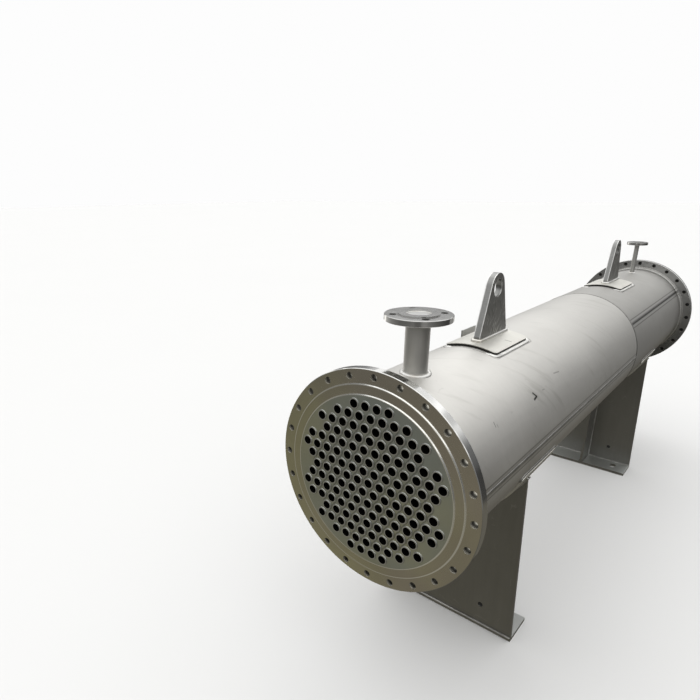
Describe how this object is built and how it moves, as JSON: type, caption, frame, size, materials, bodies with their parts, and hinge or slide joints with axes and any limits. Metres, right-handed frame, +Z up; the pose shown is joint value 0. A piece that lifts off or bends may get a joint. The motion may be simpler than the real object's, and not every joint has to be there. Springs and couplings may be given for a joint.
{
  "type": "shell-and-tube condenser",
  "caption": "Horizontal stainless steel tube condenser: a cylindrical shell on saddles, with open bolted tubesheets full of tube ends, flanged nozzles and lifting lugs on top.",
  "frame": {"origin": "on the floor under the middle of the vessel, at the bottom centre of its box", "axes": "+X along the vessel from its front tubesheet to its rear one, +Z up, so +Y is to the left seen from the front end"},
  "size_m": [2.564, 0.565, 1.1142],
  "materials": {
    "shell_steel": "pickled, matt",
    "machined_steel": "machined, satin",
    "tube_steel": "drawn, satin",
    "nozzle_steel": "turned, bright",
    "lug_steel": "cut plate, matt",
    "pad_steel": "pickled, matt",
    "saddle_steel": "pickled, matt"
  },
  "bodies": {
    "root": {"tube_bundle": "tube_steel", "front_tubesheet": "machined_steel", "rear_tubesheet": "machined_steel", "front_shell_course": "shell_steel", "rear_shell_course": "shell_steel", "nameplate_bracket": "lug_steel", "vapour_inlet_pipe": "nozzle_steel", "vapour_inlet_flange": "nozzle_steel", "drain_pipe": "nozzle_steel", "drain_flange": "nozzle_steel", "vent_pipe": "nozzle_steel", "vent_flange": "nozzle_steel", "condensate_outlet_pipe": "nozzle_steel", "condensate_outlet_flange": "nozzle_steel", "front_lifting_lug": "lug_steel", "front_lug_pad": "pad_steel", "front_saddle_base": "saddle_steel", "front_saddle_web": "saddle_steel", "front_saddle_rib": "saddle_steel", "front_saddle_wear_plate": "pad_steel", "rear_lifting_lug": "lug_steel", "rear_lug_pad": "pad_steel", "rear_saddle_base": "saddle_steel", "rear_saddle_web": "saddle_steel", "rear_saddle_rib": "saddle_steel", "rear_saddle_wear_plate": "pad_steel"}
  },
  "joints": []
}
